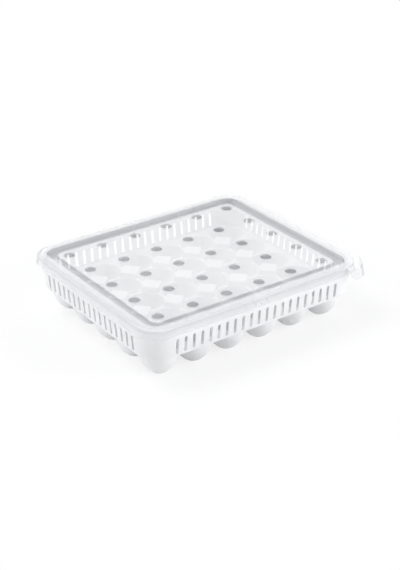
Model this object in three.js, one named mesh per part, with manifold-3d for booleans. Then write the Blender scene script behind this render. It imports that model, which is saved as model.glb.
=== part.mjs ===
// Storage container for thirty eggs: a white tray with slotted walls and a clear lift-off lid.
// Millimetres, +Z up. The origin is on the surface that the container stands on, under the
// middle of its outline. Columns of cups run along X and rows along Y.
//
// The container is two mouldings. Each is given here as its named regions, which meet at
// narrow seams, so that every egg cup, wall and edge can be used on its own.

import * as THREE from 'three';
import { mergeVertices } from 'three/addons/utils/BufferGeometryUtils.js';
import Module from 'manifold-3d';

const wasm = await Module();
wasm.setup();

// Egg cups, in a square grid with a narrow gap between neighbours
const columns = 6;
const rows = 5;
const cupRadius = 23.7;
const cupGap = 0.6;
const cupHeight = 32;
const cupWall = 1.5;
const cupFootRadius = 6;
const cupSides = 12;
const cupArcSteps = 3;

// Deck that joins the cups, with a raised peak between every four
const deckThickness = 1.5;
const peakHeight = 6.5;
const peakTopWidth = 21;
const peakFootWidth = 23.2;

// Slotted wall. Offsets are measured outwards from the centres of the outermost cups.
const wallFootOffset = 30.7;
const wallTopOffset = 34.2;
const wallRise = 37.5;
const wallThickness = 1.6;
const footRounding = 1;

// Rolled rim on top of the wall
const rimOverhang = 1;
const rimThickness = 2;

// Slots in the wall
const slotWidth = 3.7;
const slotLength = 19.4;
const slotAboveDeck = 1.8;
const slotEndMargin = 4.3;
const longSideSlots = 21;
const shortSideSlots = 17;
const slotEndSteps = 3;

// Snap lugs in the middle of the long walls, behind the windows of the lid
const lugMargin = 0.5;
const lugRampShare = 0.3;

// Lid
const lidWall = 1.5;
const lidClearance = 0.3;
const crownThickness = 2;
const crownAbovePanel = 2.5;
const grooveDepth = 5;
const panelEdgeOffset = 13.3;
const panelCornerRadius = 9;
const panelEdgeRounding = 0.8;
const grooveOuterOffset = 24.2;
const shoulderWidth = 8.5;
const shoulderDrop = 3;
const shoulderSteps = 3;
const lidCornerInset = 7.5;
const creaseDepth = 0.5;
const creaseDrop = 0.8;
const skirtDepth = 8;
const skirtFlare = 2;

// Round hole in the lid over each egg
const lidHoleRadius = 7;
const lidHoleSides = 12;

// Windows in the skirt over the snap lugs
const windowWidth = 17;
const windowAboveSkirtFoot = 1.2;
const windowHeight = 4.6;

// Grip lip along the right-hand edge of the lid. Round each corner its reach falls off first,
// then its droop, down to the small end of the lip.
const lipReach = 9.5;
const lipDroop = 15;
const lipFlare = 3;
const lipBelowCrown = 2;
const lipRounding = 0.7;
const lipEndReach = 3.4;
const lipEndDroop = 5.5;
const lipReachAngle = THREE.MathUtils.degToRad(45);
const lipDroopAngle = THREE.MathUtils.degToRad(68);
const lipEndAngle = THREE.MathUtils.degToRad(88);
const lipSteps = 9;

// Seam between two regions of one moulding, steps in a rounded corner, and overrun of cuts
const seam = 0.3;
const cornerSteps = 5;
const overrun = 1;

// Pitch, heights and offsets that follow
const cellPitch = 2 * cupRadius + cupGap;
const halfGridX = (columns - 1) / 2 * cellPitch;
const halfGridY = (rows - 1) / 2 * cellPitch;
const deckTop = cupHeight + deckThickness;
const wallTop = cupHeight + wallRise;
const rimOffset = wallTopOffset + rimOverhang;
const seatHeight = wallTop + rimThickness;
const crownTop = seatHeight + crownThickness;
const panelTop = crownTop - crownAbovePanel;
const grooveFloor = panelTop - grooveDepth;
const skirtFoot = seatHeight - skirtDepth;
const skirtTop = crownTop - shoulderDrop - creaseDrop;
const windowFoot = skirtFoot + windowAboveSkirtFoot;
const skirtInnerOffset = rimOffset + lidClearance;
const lidOffset = skirtInnerOffset + lidWall;
const skirtFootOffset = lidOffset - creaseDepth + skirtFlare;
const lidCornerX = halfGridX + lidCornerInset;
const lidCornerY = halfGridY + lidCornerInset;
const lipTop = crownTop - lipBelowCrown;
const lidRight = halfGridX + lidOffset + lipReach + lipFlare;
const lidLeft = halfGridX + skirtFootOffset;
const middleX = (lidRight - lidLeft) / 2;
const farAway = lidLeft + lidRight;

// Materials
const whitePlastic = new THREE.MeshStandardMaterial({ color: '#f3f4f6', roughness: 0.42, metalness: 0 });
const clearPlastic = new THREE.MeshStandardMaterial({
  color: '#e6eaef',
  roughness: 0.3,
  metalness: 0,
  transparent: true,
  opacity: 0.55,
});

// Solids

function signedVolume(positions, triangles) {
  const a = new THREE.Vector3();
  const b = new THREE.Vector3();
  const c = new THREE.Vector3();
  let volume = 0;
  for (let first = 0; first < triangles.length; first += 3) {
    a.fromArray(positions, triangles[first] * 3);
    b.fromArray(positions, triangles[first + 1] * 3);
    c.fromArray(positions, triangles[first + 2] * 3);
    volume += a.dot(b.cross(c)) / 6;
  }
  return volume;
}

// Turns a closed geometry into a solid whose faces point outwards
function solid(geometry) {
  geometry.deleteAttribute('normal');
  geometry.deleteAttribute('uv');
  const merged = mergeVertices(geometry);
  const positions = merged.getAttribute('position').array;
  const corners = merged.index.array;
  const triangles = [];
  for (let first = 0; first < corners.length; first += 3) {
    const [a, b, c] = corners.slice(first, first + 3);
    if (a !== b && b !== c && c !== a) triangles.push(a, b, c);
  }
  if (signedVolume(positions, triangles) < 0) triangles.reverse();
  return new wasm.Manifold(new wasm.Mesh({
    numProp: 3,
    vertProperties: Float32Array.from(positions),
    triVerts: Uint32Array.from(triangles),
  }));
}

function mesh(name, body, material) {
  const { vertProperties, triVerts } = body.getMesh();
  const geometry = new THREE.BufferGeometry();
  geometry.setAttribute('position', new THREE.BufferAttribute(vertProperties, 3));
  geometry.setIndex(new THREE.BufferAttribute(triVerts, 1));
  const result = new THREE.Mesh(geometry, material.clone());
  result.name = name;
  return result;
}

// Stands a geometry that was made along Y upright, so that its Y becomes Z
function upright(geometry) {
  return geometry.applyMatrix4(new THREE.Matrix4().set(1, 0, 0, 0, 0, 0, -1, 0, 0, 1, 0, 0, 0, 0, 0, 1));
}

function box(lowX, highX, lowY, highY, lowZ, highZ) {
  const geometry = new THREE.BoxGeometry(highX - lowX, highY - lowY, highZ - lowZ);
  return solid(geometry.translate((lowX + highX) / 2, (lowY + highY) / 2, (lowZ + highZ) / 2));
}

function cylinder(radius, sides, lowZ, highZ, x, y) {
  const geometry = upright(new THREE.CylinderGeometry(radius, radius, highZ - lowZ, sides));
  return solid(geometry.translate(x, y, (lowZ + highZ) / 2));
}

// Joins matching sections, lists of as many points each, into a closed skin. A skin that
// doesn't run back to its start is closed by the two end faces, in the given triangles.
function skin(sections, endTriangles) {
  const count = sections[0].length;
  const points = sections.flat();
  const positions = new Float32Array(points.flatMap((point) => point.toArray()));
  const triangles = [];
  const spans = endTriangles ? sections.length - 1 : sections.length;
  for (let span = 0; span < spans; span++) {
    const here = span * count;
    const next = (span + 1) % sections.length * count;
    for (let side = 0; side < count; side++) {
      const after = (side + 1) % count;
      triangles.push(here + side, next + side, next + after);
      triangles.push(here + side, next + after, here + after);
    }
  }
  for (const [a, b, c] of endTriangles ?? []) {
    const last = spans * count;
    triangles.push(a, b, c, last + c, last + b, last + a);
  }
  const geometry = new THREE.BufferGeometry();
  geometry.setAttribute('position', new THREE.BufferAttribute(positions, 3));
  geometry.setIndex(triangles);
  return solid(geometry);
}

// Rounded rectangle round the grid of cups, counter-clockwise from the right
function roundedLoop(offset, radius, height) {
  const loop = [];
  for (let corner = 0; corner < 4; corner++) {
    const signX = corner === 0 || corner === 3 ? 1 : -1;
    const signY = corner < 2 ? 1 : -1;
    const centreX = signX * (halfGridX + offset - radius);
    const centreY = signY * (halfGridY + offset - radius);
    for (let step = 0; step <= cornerSteps; step++) {
      const angle = (corner + step / cornerSteps) * Math.PI / 2;
      const x = centreX + radius * Math.cos(angle);
      const y = centreY + radius * Math.sin(angle);
      loop.push(new THREE.Vector3(x, y, height));
    }
  }
  return loop;
}

// Closed ring whose section is an outline of offset, height and how far the centres of the
// rounded corners lie beyond the outermost cups
function ring(outline) {
  const loops = outline.map(([offset, height, inset]) => roundedLoop(offset, offset - inset, height));
  return skin(loops[0].map((point, place) => loops.map((loop) => loop[place])));
}

// Flat plate with rounded corners
function plate(offset, radius, lowZ, highZ) {
  const shape = new THREE.Shape(roundedLoop(offset, radius, 0).map(({ x, y }) => new THREE.Vector2(x, y)));
  const geometry = new THREE.ExtrudeGeometry(shape, { depth: highZ - lowZ, bevelEnabled: false });
  return solid(geometry.translate(0, 0, lowZ));
}

function columnX(column) {
  return column * cellPitch - halfGridX;
}

function rowY(row) {
  return row * cellPitch - halfGridY;
}

// Cuts a ring into its four sides and four corners, with a seam between neighbours
function sidesAndCorners(body, cornerX, cornerY) {
  const halfSeam = seam / 2;
  const low = -farAway;
  const high = farAway;
  const spans = {
    left: [low, -cornerX - halfSeam],
    middleX: [-cornerX + halfSeam, cornerX - halfSeam],
    right: [cornerX + halfSeam, high],
    front: [low, -cornerY - halfSeam],
    middleY: [-cornerY + halfSeam, cornerY - halfSeam],
    back: [cornerY + halfSeam, high],
  };
  const cut = (alongX, alongY) => body.intersect(box(...spans[alongX], ...spans[alongY], low, high));
  const front = box(...spans.middleX, low, 0, low, high);
  const back = box(...spans.middleX, 0, high, low, high);
  const left = box(low, 0, ...spans.middleY, low, high);
  const right = box(0, high, ...spans.middleY, low, high);
  return {
    front: body.intersect(front),
    back: body.intersect(back),
    left: body.intersect(left),
    right: body.intersect(right),
    front_left_corner: cut('left', 'front'),
    front_right_corner: cut('right', 'front'),
    back_left_corner: cut('left', 'back'),
    back_right_corner: cut('right', 'back'),
  };
}

// Egg cup: an ellipsoid bowl with a small flat foot and an even wall

function bowlCurve(radius, height, floorHeight) {
  const footShare = cupFootRadius / radius;
  const endAngle = Math.acos(footShare);
  const depth = (height - floorHeight) / Math.sin(endAngle);
  const curve = [];
  for (let step = 0; step <= cupArcSteps; step++) {
    const angle = endAngle * step / cupArcSteps;
    curve.push(new THREE.Vector2(radius * Math.cos(angle), height - depth * Math.sin(angle)));
  }
  return curve;
}

function eggCup(x, y) {
  const outside = bowlCurve(cupRadius, cupHeight, 0);
  const inside = bowlCurve(cupRadius - cupWall, cupHeight, cupWall);
  const profile = [
    new THREE.Vector2(0, 0),
    ...outside.reverse(),
    ...inside,
    new THREE.Vector2(0, cupWall),
  ];
  return solid(upright(new THREE.LatheGeometry(profile, cupSides)).translate(x, y, 0));
}

// Deck: a plate bored out at each cup, with a square peak where four cups meet

function deckPeak(x, y) {
  const geometry = new THREE.CylinderGeometry(
    peakTopWidth * Math.SQRT1_2,
    peakFootWidth * Math.SQRT1_2,
    deckThickness + peakHeight,
    4,
  );
  return solid(upright(geometry).translate(x, y, cupHeight + (deckThickness + peakHeight) / 2));
}

function deck() {
  const offset = wallFootOffset - wallThickness - seam;
  let body = plate(offset, offset, cupHeight, deckTop);
  for (let column = 1; column < columns; column++) {
    for (let row = 1; row < rows; row++) {
      const x = columnX(column) - cellPitch / 2;
      const y = rowY(row) - cellPitch / 2;
      body = body.add(deckPeak(x, y));
    }
  }
  const bores = [];
  for (let column = 0; column < columns; column++) {
    for (let row = 0; row < rows; row++) {
      const low = cupHeight - overrun;
      const high = deckTop + peakHeight + overrun;
      bores.push(cylinder(cupRadius - cupWall, cupSides, low, high, columnX(column), rowY(row)));
    }
  }
  return bores.reduce((rest, bore) => rest.subtract(bore), body);
}

// Deck strips run from the middle of one row of cups to the middle of the next
function deckStrips() {
  const whole = deck();
  const strips = [];
  for (let strip = 0; strip <= rows; strip++) {
    const low = strip === 0 ? -farAway : rowY(strip - 1) + seam / 2;
    const high = strip === rows ? farAway : rowY(strip) - seam / 2;
    strips.push(whole.intersect(box(-farAway, farAway, low, high, 0, crownTop)));
  }
  return strips;
}

// Slotted wall with its rim

function slotShape() {
  const radius = slotWidth / 2;
  const middle = slotLength / 2 - radius;
  const shape = new THREE.Shape();
  shape.absarc(0, middle, radius, 0, Math.PI, false);
  shape.absarc(0, -middle, radius, Math.PI, 2 * Math.PI, false);
  return shape;
}

function slotCutters() {
  const height = deckTop + slotAboveDeck + slotLength / 2;
  const endX = halfGridX - slotEndMargin;
  const endY = halfGridY - slotEndMargin;
  const cutters = [];
  const cutter = (turn, x, y) => {
    const settings = { depth: 2 * farAway, bevelEnabled: false, curveSegments: slotEndSteps };
    const geometry = new THREE.ExtrudeGeometry(slotShape(), settings).translate(0, 0, -farAway);
    return solid(upright(geometry).rotateZ(turn).translate(x, y, height));
  };
  for (let slot = 0; slot < longSideSlots; slot++) {
    cutters.push(cutter(0, THREE.MathUtils.lerp(-endX, endX, slot / (longSideSlots - 1)), 0));
  }
  for (let slot = 0; slot < shortSideSlots; slot++) {
    cutters.push(cutter(Math.PI / 2, 0, THREE.MathUtils.lerp(-endY, endY, slot / (shortSideSlots - 1))));
  }
  return cutters;
}

function walls() {
  const footInner = wallFootOffset - wallThickness;
  const topInner = wallTopOffset - wallThickness;
  const whole = ring([
    [wallFootOffset - footRounding, cupHeight, 0],
    [wallFootOffset, cupHeight + footRounding, 0],
    [wallTopOffset, wallTop, 0],
    [rimOffset, wallTop, lidCornerInset],
    [rimOffset, seatHeight, lidCornerInset],
    [topInner, seatHeight, 0],
    [topInner, wallTop, 0],
    [footInner, cupHeight, 0],
  ]);
  const slotted = slotCutters().reduce((rest, cutter) => rest.subtract(cutter), whole);
  return sidesAndCorners(slotted, halfGridX, halfGridY);
}

// Snap lug: a ramp that the lid rides over, on the middle of a long wall. It stands out as far
// as the skirt's inner face at the foot of the window lets it.
function snapLug(side) {
  const foot = windowFoot + lugMargin;
  const top = windowFoot + windowHeight - lugMargin;
  const lugHeight = top - foot;
  const lugWidth = windowWidth - 2 * lugMargin;
  const wallSlope = (wallTopOffset - wallFootOffset) / (wallTop - cupHeight - footRounding);
  const faceAt = (height) => wallTopOffset - (wallTop - height) * wallSlope + seam;
  const skirtSlope = (skirtFootOffset - lidWall - skirtInnerOffset) / (skirtTop - skirtFoot);
  const outer = skirtInnerOffset + (skirtTop - windowFoot) * skirtSlope - lidClearance;
  const shape = new THREE.Shape([
    new THREE.Vector2(faceAt(foot), foot),
    new THREE.Vector2(outer, foot),
    new THREE.Vector2(outer, foot + lugHeight * lugRampShare),
    new THREE.Vector2(faceAt(top), top),
  ]);
  const geometry = new THREE.ExtrudeGeometry(shape, { depth: lugWidth, bevelEnabled: false });
  geometry.translate(halfGridY, 0, -lugWidth / 2);
  return solid(upright(geometry).rotateZ(side * Math.PI / 2));
}

// Lid

function lidPanel() {
  const offset = panelEdgeOffset - lidWall - seam;
  const radius = offset - panelEdgeOffset + panelCornerRadius;
  const low = panelTop - lidWall;
  let body = plate(offset, radius, low, panelTop);
  for (let column = 0; column < columns; column++) {
    for (let row = 0; row < rows; row++) {
      const x = columnX(column);
      const y = rowY(row);
      body = body.subtract(cylinder(lidHoleRadius, lidHoleSides, low - overrun, panelTop + overrun, x, y));
    }
  }
  return body;
}

function lidEdges() {
  const panelInset = panelEdgeOffset - panelCornerRadius;
  const shoulder = [];
  for (let step = 0; step <= shoulderSteps; step++) {
    const angle = step / shoulderSteps * Math.PI / 2;
    const offset = lidOffset - shoulderWidth * (1 - Math.sin(angle));
    shoulder.push([offset, crownTop - shoulderDrop * (1 - Math.cos(angle)), lidCornerInset]);
  }
  const whole = ring([
    [panelEdgeOffset - lidWall, panelTop, panelInset],
    [panelEdgeOffset - panelEdgeRounding, panelTop, panelInset],
    [panelEdgeOffset, panelTop - panelEdgeRounding, panelInset],
    [panelEdgeOffset, grooveFloor, panelInset],
    [grooveOuterOffset, grooveFloor, lidCornerInset],
    [grooveOuterOffset, crownTop - panelEdgeRounding, lidCornerInset],
    [grooveOuterOffset + panelEdgeRounding, crownTop, lidCornerInset],
    ...shoulder,
    [lidOffset - creaseDepth, skirtTop, lidCornerInset],
    [skirtFootOffset, skirtFoot, lidCornerInset],
    [skirtFootOffset - lidWall, skirtFoot, lidCornerInset],
    [skirtInnerOffset, skirtTop, lidCornerInset],
    [skirtInnerOffset, seatHeight, lidCornerInset],
    [grooveOuterOffset + lidWall, seatHeight, lidCornerInset],
    [grooveOuterOffset + lidWall, grooveFloor - lidWall, lidCornerInset],
    [panelEdgeOffset - lidWall, grooveFloor - lidWall, panelInset],
  ]);
  const inner = halfGridY + skirtInnerOffset - overrun;
  const outer = halfGridY + skirtFootOffset + overrun;
  const halfWindow = windowWidth / 2;
  const windowTop = windowFoot + windowHeight;
  const front = box(-halfWindow, halfWindow, -outer, -inner, windowFoot, windowTop);
  const back = box(-halfWindow, halfWindow, inner, outer, windowFoot, windowTop);
  return sidesAndCorners(whole.subtract(front).subtract(back), lidCornerX, lidCornerY);
}

// Section of the grip lip at an angle of the corner's bend, counter-clockwise from its root,
// as radius about the centre of the corner and height
function lipSection(angle) {
  const turn = Math.abs(angle);
  const reachShare = THREE.MathUtils.smoothstep(turn, lipReachAngle, lipEndAngle);
  const droopShare = THREE.MathUtils.smoothstep(turn, lipDroopAngle, lipEndAngle);
  const edge = lidOffset - lidCornerInset;
  const droop = THREE.MathUtils.lerp(lipDroop, lipEndDroop, droopShare);
  const top = edge + THREE.MathUtils.lerp(lipReach, lipEndReach, reachShare);
  const foot = top + lipFlare * droop / lipDroop;
  return [
    new THREE.Vector2(edge + seam, lipTop - lidWall),
    new THREE.Vector2(top - lidWall, lipTop - lidWall),
    new THREE.Vector2(foot - lidWall, lipTop - droop),
    new THREE.Vector2(foot, lipTop - droop),
    new THREE.Vector2(top, lipTop - lipRounding),
    new THREE.Vector2(top - lipRounding, lipTop),
    new THREE.Vector2(edge + seam, lipTop),
  ];
}

// A stretch of the lip through places that each have a bend's centre and angle
function lipStretch(places) {
  const sections = places.map(({ centreY, angle }) => lipSection(angle).map(({ x, y }) => (
    new THREE.Vector3(lidCornerX + x * Math.cos(angle), centreY + x * Math.sin(angle), y)
  )));
  return skin(sections, THREE.ShapeUtils.triangulateShape(lipSection(0), []));
}

function lipCorner(side) {
  const places = [];
  for (let step = 0; step <= lipSteps; step++) {
    places.push({ centreY: side * lidCornerY, angle: side * lipEndAngle * step / lipSteps });
  }
  return lipStretch(places);
}

function lipStraight() {
  const end = lidCornerY - seam;
  return lipStretch([{ centreY: -end, angle: 0 }, { centreY: end, angle: 0 }]);
}

// Assembly

const tray = new THREE.Group();
for (let row = 0; row < rows; row++) {
  for (let column = 0; column < columns; column++) {
    const name = `egg_cup_row${row + 1}_column${column + 1}`;
    tray.add(mesh(name, eggCup(columnX(column), rowY(row)), whitePlastic));
  }
}
deckStrips().forEach((strip, place) => {
  tray.add(mesh(`tray_deck_strip_${place + 1}`, strip, whitePlastic));
});
for (const [place, wall] of Object.entries(walls())) {
  tray.add(mesh(`tray_wall_${place}`, wall, whitePlastic));
}
tray.add(mesh('snap_lug_front', snapLug(-1), whitePlastic));
tray.add(mesh('snap_lug_back', snapLug(1), whitePlastic));

const lid = new THREE.Group();
lid.add(mesh('lid_panel', lidPanel(), clearPlastic));
for (const [place, edge] of Object.entries(lidEdges())) {
  lid.add(mesh(`lid_edge_${place}`, edge, clearPlastic));
}
lid.add(mesh('lid_grip_lip', lipStraight(), clearPlastic));
lid.add(mesh('lid_grip_lip_front_corner', lipCorner(-1), clearPlastic));
lid.add(mesh('lid_grip_lip_back_corner', lipCorner(1), clearPlastic));

const container = new THREE.Group();
container.add(tray, lid);
container.position.x = -middleX;

export default container;
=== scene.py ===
from math import acos, atan, atan2, cos, pi, radians, sin, tan

import bmesh
import bpy
from mathutils import Matrix, Vector


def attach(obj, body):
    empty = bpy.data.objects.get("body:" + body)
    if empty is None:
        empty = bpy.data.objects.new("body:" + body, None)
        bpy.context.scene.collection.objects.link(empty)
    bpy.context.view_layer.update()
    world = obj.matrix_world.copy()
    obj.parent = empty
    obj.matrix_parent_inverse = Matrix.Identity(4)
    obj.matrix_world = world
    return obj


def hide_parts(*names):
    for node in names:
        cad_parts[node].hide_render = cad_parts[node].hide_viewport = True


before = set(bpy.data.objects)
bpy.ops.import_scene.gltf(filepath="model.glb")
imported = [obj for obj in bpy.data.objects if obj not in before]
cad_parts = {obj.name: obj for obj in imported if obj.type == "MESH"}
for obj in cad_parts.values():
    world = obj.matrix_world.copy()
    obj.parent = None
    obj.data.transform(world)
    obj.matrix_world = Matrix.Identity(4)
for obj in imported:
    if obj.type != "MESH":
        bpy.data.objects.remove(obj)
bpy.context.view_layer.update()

# Egg cups. Thirty thin bowls with small flat feet, the lower part of the white tray, which is
# one injection moulding in polypropylene. They stand 48 mm apart and open into the deck.

mm = 0.001
columns, rows = 6, 5
cell_pitch = 48 * mm
grid_x = -5.5 * mm
half_grid_x = (columns - 1) / 2 * cell_pitch
half_grid_y = (rows - 1) / 2 * cell_pitch
cup_radius = 23.7 * mm
cup_wall = 1.5 * mm
cup_height = 32 * mm
cup_foot_radius = 6 * mm
cup_foot_rounding = 1.2 * mm
cup_arc_steps = 10
round_steps = 64
rounding_steps = 3
smooth_angle = radians(32)
tolerance = 0.01 * mm
merge_distance = 0.001 * mm


def linear(colour):
    """An sRGB hex colour as linear RGBA."""
    parts = [int(colour[place:place + 2], 16) / 255 for place in (1, 3, 5)]
    return [p / 12.92 if p <= 0.04045 else ((p + 0.055) / 1.055) ** 2.4 for p in parts] + [1]


def add_node(tree, kind, values=(), links=(), **settings):
    """Adds a node with its settings, its socket values and the outputs that feed it."""
    made = tree.nodes.new(kind)
    for name, value in settings.items():
        setattr(made, name, value)
    for socket, value in dict(values).items():
        made.inputs[socket].default_value = value
    for socket, source in dict(links).items():
        tree.links.new(source, made.inputs[socket])
    return made


def cell_centres():
    """The middle of every egg cell, row by row."""
    for row in range(rows):
        for column in range(columns):
            x = grid_x + column * cell_pitch - half_grid_x
            yield row, column, x, row * cell_pitch - half_grid_y


def round_edges(bm, edges, width, steps=rounding_steps):
    """Rounds edges of a moulding, which never leaves its tool quite sharp."""
    bmesh.ops.bevel(
        bm, geom=edges, offset=width, segments=steps, profile=0.5, affect="EDGES", material=-1)


def make_piece(name, bm, material, body, nodes):
    """Turns a bmesh into a piece that rides on a body and stands for some CAD nodes."""
    mesh = bpy.data.meshes.new(name)
    bm.to_mesh(mesh)
    bm.free()
    mesh.materials.append(material)
    mesh.shade_smooth()
    mesh.set_sharp_from_angle(angle=smooth_angle)
    piece = bpy.data.objects.new(name, mesh)
    bpy.context.scene.collection.objects.link(piece)
    piece.modifiers.new("even_shading", "WEIGHTED_NORMAL").keep_sharp = True
    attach(piece, body)
    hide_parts(*nodes)
    return piece


# White polypropylene, injection moulded in a fine spark-eroded tool. The eye sees an even
# satin white, a little cooler and duller in broad patches where the melt flowed, and a grain
# that only softens the highlights.
tray_plastic = bpy.data.materials.new("polypropylene_white_satin")
tray_plastic.use_nodes = True
tree = tray_plastic.node_tree
tree.nodes.clear()
flow_size = 55 * mm
flow_low, flow_high = 0.3, 0.7
grain_size = 0.9 * mm
grain_depth = 0.03 * mm
place = add_node(tree, "ShaderNodeTexCoord").outputs["Object"]
flow = add_node(tree, "ShaderNodeTexNoise", {"Scale": 1 / flow_size, "Detail": 3.0}, {"Vector": place})
tint = add_node(tree, "ShaderNodeValToRGB", links={"Fac": flow.outputs["Fac"]})
tint.color_ramp.elements[0].position = flow_low
tint.color_ramp.elements[0].color = linear("#eff0f1")
tint.color_ramp.elements[1].position = flow_high
tint.color_ramp.elements[1].color = linear("#f6f6f7")
grain = add_node(tree, "ShaderNodeTexNoise", {"Scale": 1 / grain_size, "Detail": 2.0}, {"Vector": place})
satin = add_node(
    tree, "ShaderNodeMapRange", {"To Min": 0.34, "To Max": 0.5}, {"Value": grain.outputs["Fac"]})
relief = add_node(
    tree, "ShaderNodeBump", {"Strength": 0.25, "Distance": grain_depth}, {"Height": grain.outputs["Fac"]})
surface = add_node(
    tree, "ShaderNodeBsdfPrincipled", {"IOR": 1.49},
    {"Base Color": tint.outputs["Color"], "Roughness": satin.outputs["Result"],
     "Normal": relief.outputs["Normal"]})
add_node(tree, "ShaderNodeOutputMaterial", links={"Surface": surface.outputs["BSDF"]})


def bowl_curve(radius, floor):
    """Points of half an ellipsoid bowl from its foot up to the deck, as radius and height."""
    end = acos(cup_foot_radius / radius)
    depth = (cup_height - floor) / sin(end)
    angles = [end * (1 - step / cup_arc_steps) for step in range(cup_arc_steps + 1)]
    return [Vector((radius * cos(angle), 0, cup_height - depth * sin(angle))) for angle in angles]


bowl = bmesh.new()
profile = [Vector((0, 0, 0)), *bowl_curve(cup_radius, 0)]
profile += [*reversed(bowl_curve(cup_radius - cup_wall, cup_wall)), Vector((0, 0, cup_wall))]
points = [bowl.verts.new(point) for point in profile]
edges = [bowl.edges.new(pair) for pair in zip(points, points[1:])]
bmesh.ops.spin(
    bowl, geom=points + edges, axis=(0, 0, 1), cent=(0, 0, 0), angle=2 * pi, steps=round_steps,
    use_merge=True)
bmesh.ops.remove_doubles(bowl, verts=bowl.verts, dist=merge_distance)
foot_edges = [
    e for e in bowl.edges
    if all(v.co.z < tolerance and v.co.xy.length > cup_foot_radius - tolerance for v in e.verts)]
round_edges(bowl, foot_edges, cup_foot_rounding)
bmesh.ops.recalc_face_normals(bowl, faces=bowl.faces)
for row, column, x, y in cell_centres():
    cup = bowl.copy()
    bmesh.ops.translate(cup, verts=cup.verts, vec=(x, y, 0))
    name = f"cup_row{row + 1}_column{column + 1}"
    make_piece(name, cup, tray_plastic, "tray", [f"egg_{name}"])
bowl.free()

# Deck. The flat web of the tray moulding that joins the cups at their rims, with a blunt
# square peak wherever four cups meet, which keeps the eggs apart.

deck_thickness = 1.5 * mm
deck_top = cup_height + deck_thickness
deck_offset = 29.6 * mm
deck_rounding = 0.7 * mm
bore_depth = 4 * deck_thickness
peak_height = 6.5 * mm
peak_sink = 0.5 * mm
peak_top_width = 21 * mm
peak_foot_width = 23.2 * mm
peak_rounding = 1 * mm
corner_steps = 12


def rounded_loop(bm, offset, inset, height):
    """Edges of a rounded rectangle that lies outside the outermost cups' centres by offset,
    with corners centred inset beyond them."""
    verts = bmesh.ops.create_grid(bm, x_segments=1, y_segments=1, size=1)["verts"]
    size = Vector((half_grid_x + offset, half_grid_y + offset, 1))
    bmesh.ops.scale(bm, verts=verts, vec=size)
    bmesh.ops.translate(bm, verts=verts, vec=(grid_x, 0, height))
    before = set(bm.edges) - {e for v in verts for e in v.link_edges}
    bmesh.ops.bevel(
        bm, geom=verts, offset=offset - inset, segments=corner_steps, profile=0.5,
        affect="VERTICES", material=-1)
    made = [e for e in bm.edges if e not in before]
    bmesh.ops.delete(bm, geom=list({f for e in made for f in e.link_faces}), context="FACES_ONLY")
    return made


def as_tool(bm):
    """A helper object that a Boolean takes and that is then removed."""
    bmesh.ops.recalc_face_normals(bm, faces=bm.faces)
    mesh = bpy.data.meshes.new("tool")
    bm.to_mesh(mesh)
    bm.free()
    tool = bpy.data.objects.new("tool", mesh)
    bpy.context.scene.collection.objects.link(tool)
    return tool


def carved(bm, *steps):
    """The bmesh after each tool has been joined to it or cut from it."""
    target = as_tool(bm)
    for operation, tool_mesh in steps:
        modifier = target.modifiers.new(operation, "BOOLEAN")
        modifier.operation = operation
        modifier.solver = "EXACT"
        modifier.object = as_tool(tool_mesh)
    result = bmesh.new()
    result.from_object(target, bpy.context.evaluated_depsgraph_get())
    for modifier in target.modifiers:
        bpy.data.objects.remove(modifier.object)
    bpy.data.objects.remove(target)
    return result


def soften(bm, width, segments, wanted):
    """Rounds the edges that bend by more than the smooth angle and lie where wanted."""
    edges = [
        e for e in bm.edges
        if e.is_manifold and e.calc_face_angle(0) > smooth_angle and all(wanted(v.co) for v in e.verts)]
    bmesh.ops.bevel(
        bm, geom=edges, offset=width, segments=segments, profile=0.5, affect="EDGES",
        clamp_overlap=True, material=-1)


deck = bmesh.new()
outline = rounded_loop(deck, deck_offset, 0, cup_height)
plate = bmesh.ops.edgeloop_fill(deck, edges=outline)["faces"]
raised = bmesh.ops.extrude_face_region(deck, geom=plate, use_keep_orig=True)["geom"]
raised_verts = [v for v in raised if isinstance(v, bmesh.types.BMVert)]
bmesh.ops.translate(deck, verts=raised_verts, vec=(0, 0, deck_thickness))
bores = bmesh.new()
for row, column, x, y in cell_centres():
    bmesh.ops.create_cone(
        bores, cap_ends=True, segments=round_steps, radius1=cup_radius - cup_wall,
        radius2=cup_radius - cup_wall, depth=bore_depth, matrix=Matrix.Translation((x, y, deck_top)))
deck = carved(deck, ("DIFFERENCE", bores))
soften(deck, deck_rounding, rounding_steps, lambda co: co.z > deck_top - tolerance)
for row, column, x, y in cell_centres():
    if row and column:
        # Each peak stands a little way into the deck, so that it has no gap at its foot.
        middle = (x - cell_pitch / 2, y - cell_pitch / 2, deck_top + (peak_height - peak_sink) / 2)
        peak = bmesh.ops.create_cone(
            deck, cap_ends=True, segments=4, radius1=peak_foot_width / 2 ** 0.5,
            radius2=peak_top_width / 2 ** 0.5, depth=peak_height + peak_sink,
            matrix=Matrix.Translation(middle))
        sharp = {e for v in peak["verts"] for e in v.link_edges if max(v.co.z for v in e.verts) > deck_top}
        round_edges(deck, list(sharp), peak_rounding)
strips = [f"tray_deck_strip_{strip}" for strip in range(1, rows + 2)]
make_piece("tray_deck", deck, tray_plastic, "tray", strips)

# Wall. The sides of the tray moulding, leaning out from the deck to a thick rolled rim that
# the lid sits on. The four straight sides are pierced by upright slots that let air in, and a
# small upright rib stands on the middle of every corner.

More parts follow.
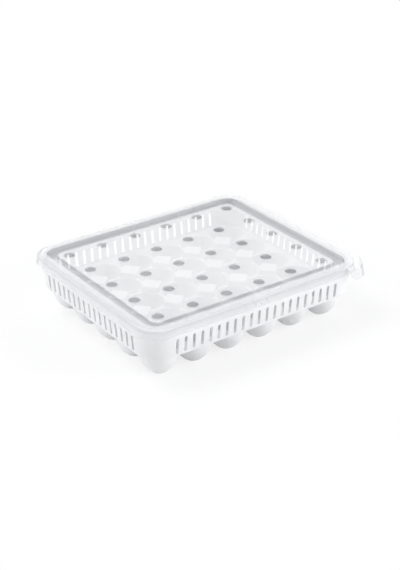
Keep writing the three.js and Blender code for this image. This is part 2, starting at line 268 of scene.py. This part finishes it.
wall_foot_offset = 30.7 * mm
wall_top_offset = 34.2 * mm
wall_top = cup_height + 37.5 * mm
wall_thickness = 1.6 * mm
wall_foot_rounding = 0.8 * mm
rim_offset = wall_top_offset + 1 * mm
rim_top = wall_top + 2 * mm
rim_rounding = 0.5 * mm
lid_corner_inset = 7.5 * mm
slot_width = 3.7 * mm
slot_length = 19.4 * mm
slot_middle = deck_top + 1.8 * mm + slot_length / 2
slot_end_margin = 4.3 * mm
slot_end_rounding = 0.49 * slot_width
slot_end_steps = 5
slot_cut_depth = 10 * mm
slot_rounding = 0.25 * mm
slot_rounding_steps = 2
slot_search_margin = 0.1 * mm
long_side_slots, short_side_slots = 21, 17
rib_size = Vector((2, 2, 9)) * mm
rib_middle = 55 * mm
rib_proud = 0.9 * mm
rib_rounding = 0.5 * mm


def drawn(bm, outline):
    """Extrudes a rounded loop through places of offset, inset and height, and returns the
    loops. From each place to the next, every corner grows about its own centre."""
    loops = [rounded_loop(bm, *outline[0])]
    for (offset, inset, height), (next_offset, next_inset, next_height) in zip(outline, outline[1:]):
        made = bmesh.ops.extrude_edge_only(bm, edges=loops[-1])["geom"]
        verts = {part for part in made if isinstance(part, bmesh.types.BMVert)}
        growth = (next_offset - next_inset) / (offset - inset)
        for across in (-1, 1):
            for along in (-1, 1):
                corner = [v for v in verts if (v.co.x - grid_x) * across > 0 and v.co.y * along > 0]
                centre = Vector((grid_x + across * (half_grid_x + inset), along * (half_grid_y + inset), 0))
                move = (across * (next_inset - inset), along * (next_inset - inset), next_height - height)
                bmesh.ops.scale(
                    bm, verts=corner, vec=(growth, growth, 1), space=Matrix.Translation(-centre))
                bmesh.ops.translate(bm, verts=corner, vec=move)
        loops.append([e for e in bm.edges if e.verts[0] in verts and e.verts[1] in verts])
    return loops


wall = bmesh.new()
inner_foot = (wall_foot_offset - wall_thickness, 0, cup_height)
loops = drawn(wall, [
    inner_foot,
    (wall_foot_offset, 0, cup_height),
    (wall_top_offset, 0, wall_top),
    (rim_offset, lid_corner_inset, wall_top),
    (rim_offset, lid_corner_inset, rim_top),
    (wall_top_offset - wall_thickness, 0, rim_top),
    (wall_top_offset - wall_thickness, 0, wall_top),
    inner_foot,
])
bmesh.ops.remove_doubles(wall, verts=wall.verts, dist=merge_distance)
round_edges(wall, loops[1], wall_foot_rounding)
round_edges(wall, loops[3] + loops[4] + loops[5], rim_rounding)
slots = bmesh.new()
for count, half_run, half_side, turn in (
        (long_side_slots, half_grid_x, half_grid_y, 0),
        (short_side_slots, half_grid_y, half_grid_x, pi / 2)):
    for slot in range(count):
        along = (2 * slot / (count - 1) - 1) * (half_run - slot_end_margin)
        for side in (-1, 1):
            verts = bmesh.ops.create_cube(slots, size=1)["verts"]
            bmesh.ops.scale(slots, verts=verts, vec=(slot_width, slot_cut_depth, slot_length))
            ends = {
                e for v in verts for e in v.link_edges
                if abs(e.verts[0].co.y - e.verts[1].co.y) > slot_cut_depth / 2}
            round_edges(slots, list(ends), slot_end_rounding, slot_end_steps)
            # The slot just made is the only one that still lies at the origin.
            fresh = [v for v in slots.verts if v.co.length < slot_length]
            where = (along, side * (half_side + wall_foot_offset), slot_middle)
            bmesh.ops.translate(slots, verts=fresh, vec=where)
            bmesh.ops.rotate(slots, verts=fresh, cent=(0, 0, 0), matrix=Matrix.Rotation(turn, 3, "Z"))
            bmesh.ops.translate(slots, verts=fresh, vec=(grid_x, 0, 0))
wall = carved(wall, ("DIFFERENCE", slots))
slot_search = slot_length / 2 + slot_search_margin
soften(wall, slot_rounding, slot_rounding_steps, lambda co: abs(co.z - slot_middle) < slot_search)
lean = atan((wall_top_offset - wall_foot_offset) / (wall_top - cup_height))
rib_place = wall_foot_offset + (rib_middle - cup_height) * tan(lean) + rib_proud - rib_size.x / 2
for across in (-1, 1):
    for along in (-1, 1):
        corner = Matrix.Translation((grid_x + across * half_grid_x, along * half_grid_y, 0))
        facing = corner @ Matrix.Rotation(atan2(along, across), 4, "Z")
        leaning = facing @ Matrix.Translation((rib_place, 0, rib_middle)) @ Matrix.Rotation(lean, 4, "Y")
        rib = bmesh.ops.create_cube(wall, size=1, matrix=leaning @ Matrix.Diagonal((*rib_size, 1)))
        round_edges(wall, list({e for v in rib["verts"] for e in v.link_edges}), rib_rounding)
sides = ["front", "back", "left", "right"]
corners = ["front_left_corner", "front_right_corner", "back_left_corner", "back_right_corner"]
make_piece(
    "tray_wall", wall, tray_plastic, "tray",
    [f"tray_wall_{place}" for place in sides + corners])

# Snap lugs. Two ramps moulded on the middle of the tray's long walls. The lid's skirt rides
# over them and they come to rest in its windows.

lug_width = 16 * mm
lug_foot = 65.2 * mm
lug_top = 68.8 * mm
lug_height = lug_top - lug_foot
lug_back_offset = 33.4 * mm
lug_face_offset = 36.3 * mm
lug_depth = lug_face_offset - lug_back_offset
lug_ramp = 0.68 * lug_height
lug_rounding = 0.3 * mm
lug_rounding_steps = 2
lug_buried = 0.5 * mm
for side, name in ((-1, "snap_lug_front"), (1, "snap_lug_back")):
    lug = bmesh.new()
    verts = bmesh.ops.create_cube(lug, size=1)["verts"]
    bmesh.ops.scale(lug, verts=verts, vec=(lug_width, lug_depth, lug_height))
    bmesh.ops.translate(lug, verts=verts, vec=(0, lug_depth / 2, lug_height / 2))
    outer_top = [
        e for e in lug.edges if all(v.co.y > lug_depth / 2 and v.co.z > lug_height / 2 for v in e.verts)]
    round_edges(lug, outer_top, lug_ramp, 1)
    soften(lug, lug_rounding, lug_rounding_steps, lambda co: co.y > lug_buried)
    bmesh.ops.translate(lug, verts=lug.verts, vec=(0, half_grid_y + lug_back_offset, lug_foot))
    bmesh.ops.rotate(lug, verts=lug.verts, cent=(0, 0, 0), matrix=Matrix.Rotation(pi * (side < 0), 3, "Z"))
    bmesh.ops.translate(lug, verts=lug.verts, vec=(grid_x, 0, 0))
    make_piece(name.replace("snap_lug", "lug"), lug, tray_plastic, "tray", [name])

# Lid. One thin translucent moulding: a flat panel with a round hole over each egg, a groove
# round it, a crowned rim that sits on the tray, a flared skirt with a window over each snap
# lug, and a drooping lip along the right-hand edge that the fingers pull up.

lid_wall = 1.5 * mm
# The lid rests this far above the tray's rim, so that two faces don't share one plane.
seat_gap = 0.1 * mm
crown_top = rim_top + 2 * mm
panel_top = crown_top - 2.5 * mm
groove_floor = panel_top - 5 * mm
groove_rounding = 0.9 * mm
panel_edge_offset = 13.3 * mm
panel_inset = panel_edge_offset - 9 * mm
groove_outer_offset = 24.2 * mm
skirt_inner_offset = rim_offset + 0.3 * mm
lid_offset = skirt_inner_offset + lid_wall
shoulder_width = 8.5 * mm
shoulder_drop = 3 * mm
shoulder_steps = 6
crease_depth = 0.5 * mm
skirt_top = crown_top - shoulder_drop - 0.8 * mm
skirt_foot = rim_top - 8 * mm
skirt_foot_offset = lid_offset - crease_depth + 2 * mm
skirt_foot_rounding = 0.4 * mm
hole_radius = 7 * mm
hole_steps = 40
hole_cut_depth = 6 * lid_wall
hole_search_reach = 1.1 * hole_radius
hole_tolerance = 0.02 * mm
window_width = 17 * mm
window_foot = skirt_foot + 1.2 * mm
window_height = 4.6 * mm
window_cut_depth = 6 * mm
cut_rounding = 0.55 * mm
lip_reach = 9.5 * mm
lip_droop = 15 * mm
lip_flare = 3 * mm
lip_top = crown_top - 2 * mm
lip_root_depth = 0.95 * mm
lip_rounding = 0.9 * mm
lip_rounding_middle = 0.3 * mm
lip_end_reach = 3.4 * mm
lip_end_droop = 5.5 * mm
# How far round its corner the lip starts to reach less, starts to droop less, and ends.
lip_reach_angle, lip_droop_angle, lip_end_angle = radians(45), radians(68), radians(88)
lip_steps = 22

# Natural polypropylene, injection moulded thin and polished. The eye sees the tray through a faint
# milky veil, and less light wherever it grazes the surface, because it looks through more plastic
# there. Every upright wall also lets a little less light through, which is painted shade on the
# groove's walls and on the edges of the holes. The polish over it mirrors the room softly.
lid_plastic = bpy.data.materials.new("polypropylene_natural_translucent")
lid_plastic.use_nodes = True
tree = lid_plastic.node_tree
tree.nodes.clear()
flow_size = 40 * mm
polish_size = 9 * mm
polish_depth = 0.08 * mm
glow_share = 0.15
graze_start, clear_face_on, clear_grazing = 0.56, 0.99, 0.25
# The second value is how much light an upright wall lets through; the loss is painted shade on the groove's
# walls and the holes' edges.
upright_limit, upright_painted_shade = 0.15, 0.93
# A thicker veil than this makes the denoiser smear what lies behind the lid.
veil_thin, veil_thick = 0.255, 0.27
mirror_face_on, mirror_power = 0.068, 5.0
spot = add_node(tree, "ShaderNodeTexCoord")
place = spot.outputs["Object"]
flow = add_node(tree, "ShaderNodeTexNoise", {"Scale": 1 / flow_size, "Detail": 3.0}, {"Vector": place})
tint = add_node(tree, "ShaderNodeValToRGB", links={"Fac": flow.outputs["Fac"]})
tint.color_ramp.elements[0].position = flow_low
tint.color_ramp.elements[0].color = linear("#f4f5f8")
tint.color_ramp.elements[1].position = flow_high
tint.color_ramp.elements[1].color = linear("#fafbfd")
skin = add_node(tree, "ShaderNodeBsdfDiffuse", links={"Color": tint.outputs["Color"]})
glow = add_node(tree, "ShaderNodeBsdfTranslucent", links={"Color": tint.outputs["Color"]})
milk = add_node(
    tree, "ShaderNodeMixShader", {"Fac": glow_share}, {1: skin.outputs["BSDF"], 2: glow.outputs["BSDF"]})
glance = add_node(tree, "ShaderNodeLayerWeight", {"Blend": 0.5})
grazed = add_node(
    tree, "ShaderNodeMapRange", {"From Min": graze_start, "To Min": clear_face_on, "To Max": clear_grazing},
    {"Value": glance.outputs["Facing"]})
# Painted shade: walls that stand upright let less light through, which darkens the groove's walls and the
# holes' edges.
turned = add_node(tree, "ShaderNodeSeparateXYZ", links={"Vector": spot.outputs["Normal"]})
upward = add_node(tree, "ShaderNodeMath", links={0: turned.outputs["Z"]}, operation="ABSOLUTE")
upright = add_node(
    tree, "ShaderNodeMapRange", {"From Max": upright_limit, "To Min": upright_painted_shade, "To Max": 1.0},
    {"Value": upward.outputs["Value"]})
passed = add_node(
    tree, "ShaderNodeMath", links={0: grazed.outputs["Result"], 1: upright.outputs["Result"]},
    operation="MULTIPLY")
clear = add_node(tree, "ShaderNodeBsdfTransparent", links={"Color": passed.outputs["Value"]})
veil = add_node(
    tree, "ShaderNodeMapRange", {"To Min": veil_thin, "To Max": veil_thick}, {"Value": flow.outputs["Fac"]})
wall_of_lid = add_node(
    tree, "ShaderNodeMixShader",
    links={"Fac": veil.outputs["Result"], 1: clear.outputs["BSDF"], 2: milk.outputs["Shader"]})
polish = add_node(tree, "ShaderNodeTexNoise", {"Scale": 1 / polish_size, "Detail": 3.0}, {"Vector": place})
gloss = add_node(
    tree, "ShaderNodeMapRange", {"To Min": 0.14, "To Max": 0.24}, {"Value": polish.outputs["Fac"]})
relief = add_node(
    tree, "ShaderNodeBump", {"Strength": 0.3, "Distance": polish_depth}, {"Height": polish.outputs["Fac"]})
mirror = add_node(
    tree, "ShaderNodeBsdfAnisotropic", {"Color": linear("#ffffff")},
    {"Roughness": gloss.outputs["Result"], "Normal": relief.outputs["Normal"]})
steepness = add_node(
    tree, "ShaderNodeMath", {1: mirror_power}, {0: glance.outputs["Facing"]}, operation="POWER")
mirrored = add_node(
    tree, "ShaderNodeMapRange", {"To Min": mirror_face_on, "To Max": 1.0},
    {"Value": steepness.outputs["Value"]})
coated = add_node(
    tree, "ShaderNodeMixShader",
    links={"Fac": mirrored.outputs["Result"], 1: wall_of_lid.outputs["Shader"], 2: mirror.outputs["BSDF"]})
add_node(tree, "ShaderNodeOutputMaterial", links={"Surface": coated.outputs["Shader"]})

lid = bmesh.new()
shoulder = []
for step in range(shoulder_steps + 1):
    angle = step / shoulder_steps * pi / 2
    shoulder.append((
        lid_offset - shoulder_width * (1 - sin(angle)), lid_corner_inset,
        crown_top - shoulder_drop * (1 - cos(angle))))
top_side = [
    (panel_edge_offset, panel_inset, panel_top),
    (panel_edge_offset, panel_inset, groove_floor),
    (groove_outer_offset, lid_corner_inset, groove_floor),
    (groove_outer_offset, lid_corner_inset, crown_top),
]
crease = (lid_offset - crease_depth, lid_corner_inset, skirt_top)
underside = [
    (skirt_foot_offset, lid_corner_inset, skirt_foot),
    (skirt_foot_offset - lid_wall, lid_corner_inset, skirt_foot),
    (skirt_inner_offset, lid_corner_inset, skirt_top),
    (skirt_inner_offset, lid_corner_inset, rim_top + seat_gap),
    (groove_outer_offset + lid_wall, lid_corner_inset, rim_top + seat_gap),
    (groove_outer_offset + lid_wall, lid_corner_inset, groove_floor - lid_wall),
    (panel_edge_offset - lid_wall, panel_inset, groove_floor - lid_wall),
    (panel_edge_offset - lid_wall, panel_inset, panel_top - lid_wall),
]
loops = drawn(lid, [*top_side, *shoulder, crease, *underside])
bmesh.ops.edgeloop_fill(lid, edges=loops[0])
bmesh.ops.edgeloop_fill(lid, edges=loops[-1])
foot = len(loops) - len(underside)
round_edges(lid, loops[0] + loops[1] + loops[2] + loops[3], groove_rounding)
round_edges(lid, loops[foot] + loops[foot + 1], skirt_foot_rounding)

holes = bmesh.new()
for row, column, x, y in cell_centres():
    bmesh.ops.create_cone(
        holes, cap_ends=True, segments=hole_steps, radius1=hole_radius, radius2=hole_radius,
        depth=hole_cut_depth, matrix=Matrix.Translation((x, y, panel_top - lid_wall / 2)))
windows = bmesh.new()
for side in (-1, 1):
    where = (grid_x, side * (half_grid_y + lid_offset), window_foot + window_height / 2)
    size = Matrix.Diagonal((window_width, window_cut_depth, window_height, 1))
    bmesh.ops.create_cube(windows, size=1, matrix=Matrix.Translation(where) @ size)


def on_cut_edge(co):
    """True for a point on the edge of a hole or a window."""
    if co.z > groove_floor and abs(co.y) < half_grid_y + hole_search_reach:
        gaps = [(co.xy - Vector((x, y))).length - hole_radius for _, _, x, y in cell_centres()]
        return any(abs(gap) < hole_tolerance for gap in gaps)
    in_width = abs(co.x - grid_x) < window_width / 2 + tolerance
    in_height = abs(co.z - window_foot - window_height / 2) < window_height / 2 + tolerance
    return in_width and in_height and abs(co.y) > half_grid_y + skirt_inner_offset


def smooth_step(value, low, high):
    """0 below low, 1 above high, and a smooth rise between them."""
    share = min(max((value - low) / (high - low), 0), 1)
    return share * share * (3 - 2 * share)


def lip_section(bm, side, turn):
    """Edges of the lip's section, from its root inside the lid's rim, at a turn of the corner."""
    reach = lip_reach + (lip_end_reach - lip_reach) * smooth_step(turn, lip_reach_angle, lip_end_angle)
    droop = lip_droop + (lip_end_droop - lip_droop) * smooth_step(turn, lip_droop_angle, lip_end_angle)
    edge = lid_offset - lid_corner_inset
    root, out = edge - lip_root_depth, edge + reach
    foot = out + lip_flare * droop / lip_droop
    outline = [
        (root, lip_top - lid_wall), (out - lid_wall, lip_top - lid_wall),
        (foot - lid_wall, lip_top - droop), (foot, lip_top - droop), (out, lip_top - lip_rounding),
        (out - lip_rounding_middle, lip_top - lip_rounding_middle), (out - lip_rounding, lip_top),
        (root, lip_top)]
    verts = [bm.verts.new((radius, 0, height)) for radius, height in outline]
    bmesh.ops.rotate(bm, verts=verts, cent=(0, 0, 0), matrix=Matrix.Rotation(side * turn, 3, "Z"))
    centre = (grid_x + half_grid_x + lid_corner_inset, side * (half_grid_y + lid_corner_inset), 0)
    bmesh.ops.translate(bm, verts=verts, vec=centre)
    return [bm.edges.new(pair) for pair in zip(verts, verts[1:] + verts[:1])]


lip = bmesh.new()
turns = [(-1, lip_end_angle * step / lip_steps) for step in reversed(range(lip_steps + 1))]
turns += [(1, turn) for _, turn in reversed(turns)]
sections = [lip_section(lip, side, turn) for side, turn in turns]
for near, far in zip(sections, sections[1:]):
    bmesh.ops.bridge_loops(lip, edges=near + far)
bmesh.ops.edgeloop_fill(lip, edges=sections[0])
bmesh.ops.edgeloop_fill(lip, edges=sections[-1])
lid = carved(lid, ("UNION", lip), ("DIFFERENCE", holes), ("DIFFERENCE", windows))
soften(lid, cut_rounding, rounding_steps, on_cut_edge)
edges_of_lid = [f"lid_edge_{place}" for place in sides + corners]
make_piece(
    "lid", lid, lid_plastic, "lid",
    ["lid_panel", *edges_of_lid, "lid_grip_lip", "lid_grip_lip_front_corner", "lid_grip_lip_back_corner"])

# Studio. A white table that keeps the soft shadow, under an even pale sky. Four soft lamps
# stand round the object, and only the broad back one shows in reflections, so that the lid's
# flat panel doesn't turn white from behind.

table_reach = 6
fade_start, fade_end = 220 * mm, 600 * mm
white_near, white_far = 0.8, 1.0
sky_strength = 0.3


def seen_rays(tree):
    """1 for a ray from the camera, a gloss or a clear wall, which sees the white backdrop, and
    0 for a ray that brings light."""
    rays = add_node(tree, "ShaderNodeLightPath")
    two = add_node(
        tree, "ShaderNodeMath",
        links={0: rays.outputs["Is Camera Ray"], 1: rays.outputs["Is Glossy Ray"]}, operation="MAXIMUM")
    return add_node(
        tree, "ShaderNodeMath",
        links={0: two.outputs["Value"], 1: rays.outputs["Is Transmission Ray"]}, operation="MAXIMUM")


table = bpy.data.meshes.new("table")
sheet_mesh = bmesh.new()
bmesh.ops.create_grid(sheet_mesh, x_segments=1, y_segments=1, size=table_reach)
sheet_mesh.to_mesh(table)
sheet_mesh.free()
floor = bpy.data.objects.new("table", table)
bpy.context.scene.collection.objects.link(floor)

# White paper, matt. The eye sees the object's soft shadow on it close by, and plain white
# further off, where the paper meets the backdrop without a line.
paper = bpy.data.materials.new("paper_white_matt")
paper.use_nodes = True
tree = paper.node_tree
tree.nodes.clear()
sheet = add_node(tree, "ShaderNodeBsdfDiffuse", {"Color": linear("#fafbfc")})
light = add_node(tree, "ShaderNodeEmission", {"Color": linear("#ffffff"), "Strength": 1.0})
backdrop = seen_rays(tree)
spot = add_node(tree, "ShaderNodeTexCoord")
away = add_node(tree, "ShaderNodeVectorMath", links={0: spot.outputs["Object"]}, operation="LENGTH")
fade = add_node(
    tree, "ShaderNodeMapRange",
    {"From Min": fade_start, "From Max": fade_end, "To Min": white_near, "To Max": white_far},
    {"Value": away.outputs["Value"]})
share = add_node(
    tree, "ShaderNodeMath", links={0: backdrop.outputs["Value"], 1: fade.outputs["Result"]},
    operation="MULTIPLY")
both = add_node(
    tree, "ShaderNodeMixShader",
    links={"Fac": share.outputs["Value"], 1: sheet.outputs["BSDF"], 2: light.outputs["Emission"]})
add_node(tree, "ShaderNodeOutputMaterial", links={"Surface": both.outputs["Shader"]})
table.materials.append(paper)

world = bpy.data.worlds.new("sky")
world.use_nodes = True
tree = world.node_tree
tree.nodes.clear()
sky = add_node(tree, "ShaderNodeBackground", {"Color": linear("#fbfcfd"), "Strength": sky_strength})
white = add_node(tree, "ShaderNodeBackground", {"Color": linear("#ffffff"), "Strength": 1.0})
backdrop = seen_rays(tree)
both = add_node(
    tree, "ShaderNodeMixShader",
    links={"Fac": backdrop.outputs["Value"], 1: sky.outputs["Background"], 2: white.outputs["Background"]})
add_node(tree, "ShaderNodeOutputWorld", links={"Surface": both.outputs["Shader"]})
bpy.context.scene.world = world
for name, place, size, power, mirrored in (
        ("front_lamp", (1.83, -2.34, 1.2), 1.6, 56, False),
        ("top_lamp", (-1.13, 1.13, 2.77), 1.6, 46, False),
        ("left_lamp", (-2.8, 0.75, 1.35), 1.6, 27, False),
        ("back_lamp", (1.96, 1.96, 1.6), 3.2, 28, True)):
    lamp = bpy.data.lights.new(name, "AREA")
    lamp.size = size
    lamp.energy = power
    holder = bpy.data.objects.new(name, lamp)
    holder.location = place
    holder.rotation_euler = (-Vector(place)).to_track_quat("-Z", "Y").to_euler()
    holder.visible_glossy = mirrored
    bpy.context.scene.collection.objects.link(holder)

# Camera. It looks down on the object from its front left, with a long lens, and was solved
# from the lid's holes and the object's outlines in the photograph.

camera_place = (-0.8593, -1.1922, 0.7917)
camera_tilt, camera_turn = 27.34, -35.85
view = bpy.data.cameras.new("camera")
view.sensor_width = 36
view.lens = 84.64
camera = bpy.data.objects.new("camera", view)
camera.location = camera_place
camera.rotation_euler = (radians(90 - camera_tilt), 0, radians(camera_turn))
bpy.context.scene.collection.objects.link(camera)
bpy.context.scene.camera = camera
bpy.context.scene.view_settings.view_transform = "Standard"
